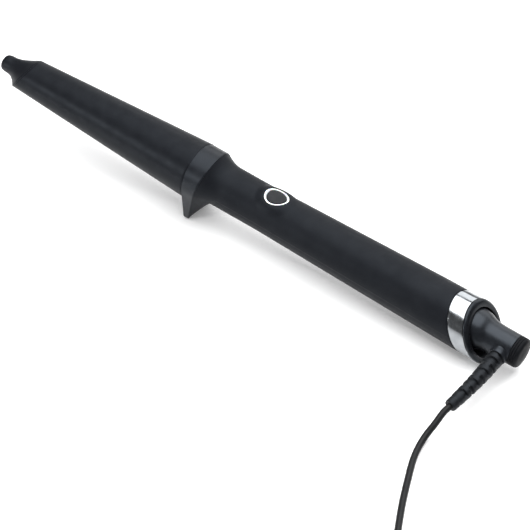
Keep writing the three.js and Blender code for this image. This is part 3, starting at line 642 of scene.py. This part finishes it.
def make_handle():
    segments = 288
    end = BAND_FRONT_X - 0.25

    def ring_at(x_of):
        return around(x_of, segments)

    def start_x(a):
        return collar_rear(collar_reach(a) * math.sin(a)) + 0.08

    def neck(share, lift, inset):
        def radius_x(a):
            x = start_x(a) + lift
            x += (26.0 - x) * share
            r = handle_surface(x, a) - inset
            down = -math.sin(a)
            if down > 0:
                r = min(r, -rest_height(x) / down)
            return x, r

        return ring_at(radius_x)

    def inner_neck(share):
        def radius_x(a):
            x = start_x(a)
            return x + (24.0 - x) * share, 9.6

        return ring_at(radius_x)

    def finish(back, inset):
        def radius_x(a):
            r = handle_radius(end)
            for _ in range(3):
                x = end - back - SLANT * r * math.sin(a)
                r = handle_radius(x)
            return x, r - inset

        return ring_at(radius_x)

    rings = [neck(0, 0.0, 0.3), neck(0, 0.03, 0.12), neck(0, 0.12, 0.03)]
    rings += [neck(i / 48, 0.3, 0) for i in range(49)]
    stations = [26 + 12 * i / 16 for i in range(1, 17)] + [38 + 28 * i / 64 for i in range(1, 65)]
    stations += list(range(70, 160, 6))
    rings += [ring_at(lambda a, x=x: (x, handle_surface(x, a))) for x in stations]
    rings += [finish(1.5, 0), finish(0.35, 0), finish(0.1, 0.1), finish(0, 0.35), finish(0, 1.6)]
    inner = (150, 100, 46, 26)
    rings += [ring_at(lambda a, x=x: (x, handle_radius(x) - 1.6)) for x in inner]
    rings += [inner_neck(1.0), inner_neck(0.5), inner_neck(0.0)]
    shell = loft("handle_moulding", rings, row, closed=True, sharp=40)
    return carve(shell, button_disc("button_hole", 7.0, 7.0, 22.0), sharp=40)


def button_outline(radius, a):
    """The button's outline is longer than wide, and a little narrower toward the handle's end."""
    x = BUTTON_X + 1.05 * radius * math.cos(a)
    return x, 0.9 * radius * math.sin(a) * (1 - 0.14 * math.cos(a))


def button_disc(name, radius, low, high, segments=128):
    outline = [button_outline(radius, 2 * math.pi * j / segments) for j in range(segments)]
    return loft(name, [[Vector((x, y, z)) for x, y in outline] for z in (low, high)], row)


def pad_top(x, y):
    return math.sqrt((handle_radius(x) + 1.05) ** 2 - y * y)


def button_loft(name, rows, closed, segments=96):
    """Rings about the button's own axis: radius, then a depth under the pad's surface or None and a height."""
    rings = []
    for radius, depth, level in rows:
        ring = []
        for j in range(segments):
            x, y = button_outline(radius, 2 * math.pi * j / segments)
            ring.append(Vector((x, y, level if depth is None else pad_top(x, y) - depth)))
        rings.append(ring)
    return loft(name, rings, row, closed, sharp=50)


def make_light_ring():
    rows = [(6.0, None, 8.4), (6.0, 0.25, None), (6.1, 0.16, None), (6.18, 0.04, None), (6.26, 0.0, None)]
    rows += [(6.6, 0.0, None), (6.7, 0.03, None), (6.78, 0.12, None), (6.88, 0.2, None), (6.88, None, 8.4)]
    return button_loft("light_ring_lens", rows, closed=True)


def make_button():
    rows = [(1.0, None, 7.4), (6.7, None, 7.4), (6.7, None, 8.1), (5.5, None, 8.2), (5.5, 0.5, None)]
    rows += [(5.46, 0.3, None), (5.36, 0.16, None), (5.2, 0.08, None), (4.9, 0.05, None), (4.2, 0.05, None)]
    rows += [(r, 0.05 + 0.12 * (1 - (r / 4.2) ** 2), None) for r in (3.4, 2.6, 1.8, 1.0, 0.3)]
    return button_loft("button_cap", rows, closed=False)


# ---- End of the handle -----------------------------------------------------------------------------------
def make_band():
    segments = 128

    def edge(at, inset):
        def radius_x(a):
            r = handle_radius(at)
            for _ in range(3):
                x = at - SLANT * r * math.sin(a)
                r = handle_radius(x)
            return x, r - inset

        return around(radius_x, segments)

    front, rear = BAND_FRONT_X, BAND_REAR_X
    rows = [(front, 0.6), (front + 0.02, 0.16), (front + 0.14, 0.03), (front + 0.4, 0.0)]
    rows += [(front + (rear - front) * i / 5, 0.0) for i in range(1, 5)]
    rows += [(rear - 0.4, 0.0), (rear - 0.14, 0.03), (rear - 0.02, 0.16), (rear, 0.6)]
    rings = [edge(*r) for r in rows]
    rings += [slanted_ring(rear, 13.8, -SLANT, segments), slanted_ring(front, 13.8, -SLANT, segments)]
    return loft("bright_band", rings, row, closed=True)


def make_end():
    segments = 128
    rim = handle_radius(END_FACE_X)
    outer, face, floor = BAND_REAR_X, END_FACE_X, 176.5
    rows = [(outer + 0.25, 13.9, 1), (outer + 0.25, rim - 0.35, 1), (outer + 0.35, rim - 0.18, 1)]
    rows += [(outer + 0.6, rim - 0.08, 1), (outer + 1.1, rim - 0.1, 1), (outer + 1.6, rim - 0.25, 1)]
    rows += [(face - 0.45, rim - 0.6, 1), (face - 0.15, rim - 1.05, 1), (face, rim - 1.6, 1)]
    rows += [(face, 13.2, 1), (face - 0.05, 12.9, 1), (face - 0.22, 12.65, 1), (face - 0.6, 12.5, 1)]
    rows += [(face - 2.0, 12.42, 0.93), (183.0, 12.4, 0.5), (178.0, 12.4, 0.0)]
    rows += [(floor + 0.2, 12.3, 0.0), (floor, 12.0, 0.0), (floor, 6.7, 0.0)]
    rows += [(165.0, 6.7, 0.0), (165.0, 13.5, 0.0), (173.0, 13.5, 0.4), (outer - 1, 13.5, 1)]
    rings = [slanted_ring(x, r, -SLANT * k, segments) for x, r, k in rows]
    return loft("end_moulding", rings, row, closed=True, sharp=38)


def make_stem():
    outline = [(178.6, 2.0), (178.6, 11.5, 0.5), (184.4, 11.62, 1.6), (187.9, 11.0, 2.5)]
    outline += [(192.0, 9.1, 3.0), (198.0, STEM_R)]
    profile = rounded(outline, 0.4, 6)
    profile += [(BOOT_X, STEM_R), (207.3, STEM_R), (208.0, STEM_R - 0.04)]
    profile += [(208.28, STEM_R - 0.2), (208.3, STEM_R - 0.6)]
    profile += [(208.3, 7.06), (190, 7.06), (186, 2.0)]
    body = turned("stem_body", profile, swivel_row, 112, closed=True)
    shaft = turned("stem_shaft", [(157, 2), (157, 4.9), (157.2, 5), (178.7, 5), (178.7, 2)], swivel_row, 64)
    boss_profile = [(-7.2, 6.3), (-7.9, 6.0), (-8.6, 5.55), (-9.2, 5.3), (-10.0, 5.2), (-10.3, 5.08)]
    boss_profile += [(-10.4, 4.85), (-10.4, 4.6), (-7.2, 4.6)]
    boss = []
    for y, r in boss_profile:
        angles = [2 * math.pi * j / 64 for j in range(64)]
        boss.append([Vector((BOOT_X + min(r, 5.28) * math.cos(a), y, r * math.sin(a))) for a in angles])
    mouth = loft("stem_boss", boss, swivel_row, closed=True)
    hole = []
    for y in (-14.0, -5.0):
        angles = [2 * math.pi * j / 64 for j in range(64)]
        hole.append([Vector((BOOT_X + 4.58 * math.cos(a), y, 4.58 * math.sin(a))) for a in angles])
    carve(body, loft("stem_mouth", hole, swivel_row))
    return joined("stem_moulding", [body, shaft, mouth])


def make_stem_cap():
    r = STEM_R
    profile = [(208.45, 0.5), (208.45, r - 0.6), (208.5, r - 0.2), (208.75, r - 0.04), (209.1, r)]
    for x in (209.9, 211.3):
        profile += [(x - 0.35, r), (x - 0.2, r - 0.1), (x - 0.1, r - 0.32)]
        profile += [(x + 0.1, r - 0.32), (x + 0.2, r - 0.12), (x + 0.35, r - 0.06)]
    profile += [(212.3, r - 0.12), (213.0, r - 0.45), (213.5, r - 1.1)]
    profile += [(213.75, r - 1.9), (213.9, r - 3.2), (214.2, r - 5.2)]
    profile += [(214.5, 2.0), (214.5, 0.5)]
    return turned("stem_end_cap", profile, swivel_row, 112, closed=False)


# ---- Strain relief and lead ------------------------------------------------------------------------------
CORD_R = 1.9
BOOT_TIP = 52.0
COIL = Vector((186.0, -212.0, 0.0))
PLUG_REAR = 147.0
PLUG_Y = -247.5
PLUG_THICK = 13.7


def swivel_mm(p):
    return swivel_row(p) * 1000


def boot_path():
    pts = [swivel_mm((BOOT_X, -y, 0)) for y in (3.0, 12.0, 24.0)]
    pts += [swivel_mm((202.4, -36, 0.3)), swivel_mm((201.4, -46, 0.2)), swivel_mm((200.6, -52, -0.2))]
    return pts


def make_boot():
    """A moulded relief: eight collars on a slim core, joined by webs that alternate in direction."""
    spacing, start = 0.25, 3.0
    path = smooth_path(boot_path(), spacing)
    bends = frames_along(path)
    pitch, first, collars = 4.55, 9.4, 8
    groove_depth = 1.25

    def full(y):
        shoulder = 0.4 * ease((y - 10.6) / 0.4)
        taper = 1.2 * min(1.0, max(0.0, (y - 11) / 41))
        return 4.42 + shoulder - taper

    def profile(y):
        if y < first:
            return full(y) if y > 5 else 4.4
        k = (y - first) / pitch
        if k >= collars:
            tail = ease((y - first - collars * pitch) / 2.0)
            return full(y) - 0.25 * tail if y < BOOT_TIP - 3.6 else full(y) - 0.1
        phase = k - math.floor(k)
        groove = ease((phase - 0.02) / 0.09) * (1 - ease((phase - 0.44) / 0.09))
        return full(y) - groove_depth * groove

    sides = 40
    rings = []
    for i, (p, (_, u, v)) in enumerate(zip(path, bends)):
        y = start + spacing * i
        k = (y - first) / pitch
        cell = math.floor(k)
        base, outer = profile(y), full(y)
        edge = min(1.0, max(0.0, (BOOT_TIP - y) / 0.5))
        ring = []
        for j in range(sides):
            a = 2 * math.pi * j / sides
            across = abs(math.sin(a)) if cell % 2 else abs(math.cos(a))
            web = ease((0.46 - across) / 0.12) if 0 <= cell < collars else 0.0
            r = base + (outer - 0.12 - base) * web
            r = r * (0.93 + 0.07 * ease(edge))
            ring.append(p + u * (r * math.cos(a)) + v * (r * math.sin(a)))
        rings.append(ring)
    return loft("boot_moulding", rings, millimetres, sharp=60), path


def coil_route():
    """Sixteen turns, four to a layer, wound in and out by turns, then a quarter turn to leave."""
    pitch, turn_points, swap = 3.95, 36, 0.4
    outer, low = 23.0 + 1.5 * pitch, 1.5 + CORD_R

    def level(turn):
        layer, place = divmod(turn, 4)
        return layer, place if layer % 2 == 0 else 3 - place

    points = []
    for i in range(16 * turn_points + turn_points // 4 + 1):
        t = i / turn_points
        turn = min(15, int(t))
        inside = t - turn
        layer, place = level(turn)
        u = 0.5 - 0.5 * math.cos(math.pi * min(1.0, max(0.0, (inside - 1 + swap) / swap)))
        next_layer, next_place = level(min(15, turn + 1))
        r = outer - pitch * (place + (next_place - place) * u)
        z = low + 3.9 * (layer + (next_layer - layer) * u)
        if next_layer != layer:
            bulge = 1.3 * math.sin(math.pi * u)
            r += bulge if place == 0 else -bulge
        a = -2 * math.pi * t
        points.append(COIL + Vector((r * math.cos(a), r * math.sin(a), z)))
    return points


def lead_route():
    tip, before = boot_path()[-1], boot_path()[-2]
    out = (tip - before).normalized()
    z = CORD_R + 0.05
    start = [tip - out * 1.5, tip + out * 2.0, tip + out * 5.0]
    floor = [
        (160.2, -64.5, 6.6),
        (159.4, -69.0, 4.1),
        (159.6, -75.5, z + 0.3),
        (161.0, -82.5, z),
        (163.2, -89.5, z),
        (166.6, -98.0, z),
        (173.8, -115.0, z),
        (182.0, -132.0, z),
        (192.0, -151.5, z),
        (202.4, -171.0, z),
        (210.6, -189.0, z + 0.2),
    ]
    coil = coil_route()
    away = [
        (COIL.x - 9.0, COIL.y - 29.3, 14.2),
        (COIL.x - 17.5, COIL.y - 30.0, 11.4),
        (COIL.x - 24.0, COIL.y - 31.6, 9.0),
        (COIL.x - 30.0, COIL.y - 33.8, 7.4),
        (PLUG_REAR + 4.0, PLUG_Y, PLUG_THICK / 2),
        (PLUG_REAR - 2.0, PLUG_Y, PLUG_THICK / 2),
    ]
    return [*start, *[Vector(p) for p in floor], *coil[2:], *[Vector(p) for p in away]]


def make_lead():
    path = smooth_path(lead_route(), 2.0)
    rings = tube_rings(path, lambda i: CORD_R, 12)
    return loft("mains_lead", rings, millimetres, sharp=60), path


def make_tie():
    """A strap round the bundle, with its loose end folded back on top."""
    x, y = COIL.x - 23.0, COIL.y
    top = 1.5 + 17.0 + 0.6
    corners = [(x + 9.0, 0.62), (x + 9.0, top), (x - 9.0, top), (x - 9.0, 0.62)]
    loop = [(x, 0.62), *corners, (x, 0.62)]
    line = [Vector((px, 0, pz)) for px, pz in rounded(loop, 3.4, 6)]
    line = resample(line, 0.8)[:-1]
    rings = []
    for i, p in enumerate(line):
        along = (line[(i + 1) % len(line)] - line[i - 1]).normalized()
        out = Vector((-along.z, 0, along.x))
        if out.dot(p - Vector((x, 0, 9.5))) < 0:
            out = -out
        section = [(-2.9, -0.3), (-2.9, 0.3), (-2.5, 0.42), (2.5, 0.42)]
        section += [(2.9, 0.3), (2.9, -0.3), (2.5, -0.38), (-2.5, -0.38)]
        rings.append([Vector((p.x, y + w, p.z)) + out * h for w, h in section])
    band = loft("tie_band", rings, millimetres, closed=True, sharp=50)
    tail = []
    for i in range(15):
        t = i / 14
        px, pz = x - 6.5 + 13.0 * t, top + 0.9 + 0.25 * math.sin(math.pi * t)
        half = 2.7 * min(1.0, 0.55 + 4 * min(t, 1 - t))
        section = [(-half, 0.0), (-half + 0.2, 0.42), (half - 0.2, 0.42)]
        section += [(half, 0.0), (half - 0.2, -0.4), (-half + 0.2, -0.4)]
        tail.append([Vector((px, y + w, pz + h)) for w, h in section])
    return joined("tie_strap", [band, loft("tie_tail", tail, millimetres, sharp=50)])


# ---- Plug ------------------------------------------------------------------------------------------------
def make_plug():
    """A flat two-pin plug: a waisted body, shoulders towards the pins, and a ribbed neck round the lead."""
    face = PLUG_REAR - 46.0
    mid = PLUG_THICK / 2
    shape = [(0, 15.6, 5.7), (0.35, 16.2, 6.25), (1.1, 16.9, 6.6), (2.5, 17.4, 6.8)]
    shape += [(6, 17.55, 6.82), (11, 17.4, 6.8), (16, 16.2, 6.7), (21, 13.6, 6.5), (26, 10.4, 6.2)]
    shape += [(30, 8.0, 5.9), (33, 6.6, 5.5), (34.6, 5.6, 4.9), (35.2, 4.4, 4.1)]
    rings = []
    for dx, half, high in shape:
        ring = []
        for j in range(64):
            a = 2 * math.pi * j / 64
            c, s = math.cos(a), math.sin(a)
            squarish = 0.34
            y = half * math.copysign(abs(c) ** squarish, c) if abs(c) > 1e-6 else 0.0
            z = high * math.copysign(abs(s) ** squarish, s) if abs(s) > 1e-6 else 0.0
            ring.append(Vector((face + dx, PLUG_Y + y, mid + z)))
        rings.append(ring)
    body = loft("plug_shell", rings, millimetres, sharp=40)
    neck = []
    for i in range(56):
        dx = 34.4 + 11.4 * i / 55
        groove = 0.55 * max(0.0, math.sin(2 * math.pi * (dx - 35.5) / 2.6)) if 35.5 < dx < 43.4 else 0.0
        r = 4.0 - 1.3 * (dx - 34.4) / 11.4 - groove
        angles = [2 * math.pi * j / 32 for j in range(32)]
        neck.append([Vector((face + dx, PLUG_Y + r * math.cos(a), mid + r * math.sin(a))) for a in angles])
    return joined("plug_moulding", [body, loft("plug_neck", neck, millimetres, sharp=60)])


def make_pin(name, side, rows):
    face = PLUG_REAR - 46.0
    rings = []
    for dx, r in rows:
        angles = [2 * math.pi * j / 32 for j in range(32)]
        y, z = PLUG_Y + side * 9.3, PLUG_THICK / 2
        rings.append([Vector((face - dx, y + r * math.cos(a), z + r * math.sin(a))) for a in angles])
    return loft(name, rings, millimetres, sharp=50)


# ---- Build -----------------------------------------------------------------------------------------------
add_camera()
MATERIALS = build_materials()

lead, lead_path = make_lead()
boot, boot_line = make_boot()
stand(boot, "swivel", MATERIALS["boot"], "black_rubber", "cord_boot")
stand(make_tie(), "wand", MATERIALS["strap"], "black_rubber", "cord_tie")
plug = stand(make_plug(), "wand", MATERIALS["plug"], "black_rubber", "plug_body")
on_lead = [plug]
for label, side in (("left", 1), ("right", -1)):
    metal_rows = [(-5, 1.9), (9.5, 1.9), (10, 2.0), (17.4, 2.0), (18.2, 1.85), (18.8, 1.4), (19, 0.7)]
    metal = make_pin("pin_metal_" + label, side, metal_rows)
    stand(metal, "wand", MATERIALS["nickel"], "brass", "plug_pin_" + label)
    sleeve = make_pin("pin_sleeve_" + label, side, [(-1, 2.0), (0, 2.0), (9.2, 2.0), (9.9, 1.96), (10, 1.91)])
    stand(sleeve, "wand", MATERIALS["plug"], "black_rubber")
    on_lead += [metal, sleeve]

stand(make_barrel(), "wand", MATERIALS["barrel"], "satin_enamel", "barrel")
stand(make_tip(), "wand", MATERIALS["tip"], "satin_black_plastic", "cool_tip")
stand(make_collar(), "wand", MATERIALS["collar"], "semi_gloss_black", "collar_stand")
stand(make_handle(), "wand", MATERIALS["handle"], "soft_touch", "handle_shell")
stand(make_light_ring(), "wand", MATERIALS["ring"], "light_pipe", "light_ring")
stand(make_button(), "button", MATERIALS["button"], "soft_touch", "button")
stand(make_band(), "wand", MATERIALS["chrome"], "bright_chrome", "chrome_band")
stand(make_end(), "wand", MATERIALS["end"], "satin_black_plastic", "end_cap")
stand(make_stem(), "swivel", MATERIALS["stem"], "satin_black_plastic", "swivel_stem")
# The end cap takes the darkened satin copy, which paints shade on its end face.
stand(make_stem_cap(), "swivel", MATERIALS["stem_cap"], "satin_black_plastic", "swivel_end_cap")

for entry in frame["record"]["subparts"]:
    node = frame["nodes"][entry["node"]]
    if entry["material_slot"] in MATERIALS and not node.hide_render:
        node.data.materials.clear()
        node.data.materials.append(MATERIALS[entry["material_slot"]])

lead.data.materials.append(MATERIALS["lead"])
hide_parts("cord", "cord_coil", "cord_tail")
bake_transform(lead)


# ---- Floor and light -------------------------------------------------------------------------------------
def add_floor():
    mesh = bpy.data.meshes.new("floor")
    reach, level = 4, -0.0002
    corners = [(-reach, -reach, level), (reach, -reach, level), (reach, reach, level), (-reach, reach, level)]
    mesh.from_pydata(corners, [], [(0, 1, 2, 3)])
    floor = bpy.data.objects.new("floor", mesh)
    bpy.context.scene.collection.objects.link(floor)
    surface = Surface("floor_white", (0.93, 0.93, 0.93), 0.06)
    surface.set("Emission Color", (1, 1, 1, 1)).set("Emission Strength", 0.18)
    mesh.materials.append(surface.material)


def add_area(name, at, aim, size, power, color=(1, 1, 1)):
    data = bpy.data.lights.new(name, "AREA")
    data.shape = "RECTANGLE"
    data.size, data.size_y = size
    data.energy = power
    data.color = color
    light = bpy.data.objects.new(name, data)
    light.location = at
    light.rotation_euler = (Vector(aim) - Vector(at)).to_track_quat("-Z", "Y").to_euler()
    bpy.context.scene.collection.objects.link(light)
    return light


def light_studio():
    world = bpy.data.worlds.new("studio")
    bpy.context.scene.world = world
    world.use_nodes = True
    background = world.node_tree.nodes["Background"]
    background.inputs["Color"].default_value = (0.96, 0.98, 1, 1)
    background.inputs["Strength"].default_value = 0.13
    add_area("top_softbox", (0.0, 0.15, 1.5), (0.0, 0.15, 0.0), (1.8, 2.1), 54)
    add_area("far_softbox", (-0.1, 1.45, 0.75), (0.0, 0.0, 0.0), (2.0, 0.9), 14)
    add_area("near_softbox", (-0.78, -1.15, 0.42), (0.1, 0.0, 0.0), (0.3, 0.3), 8)
    bpy.context.scene.view_settings.view_transform = "Standard"


add_floor()
light_studio()
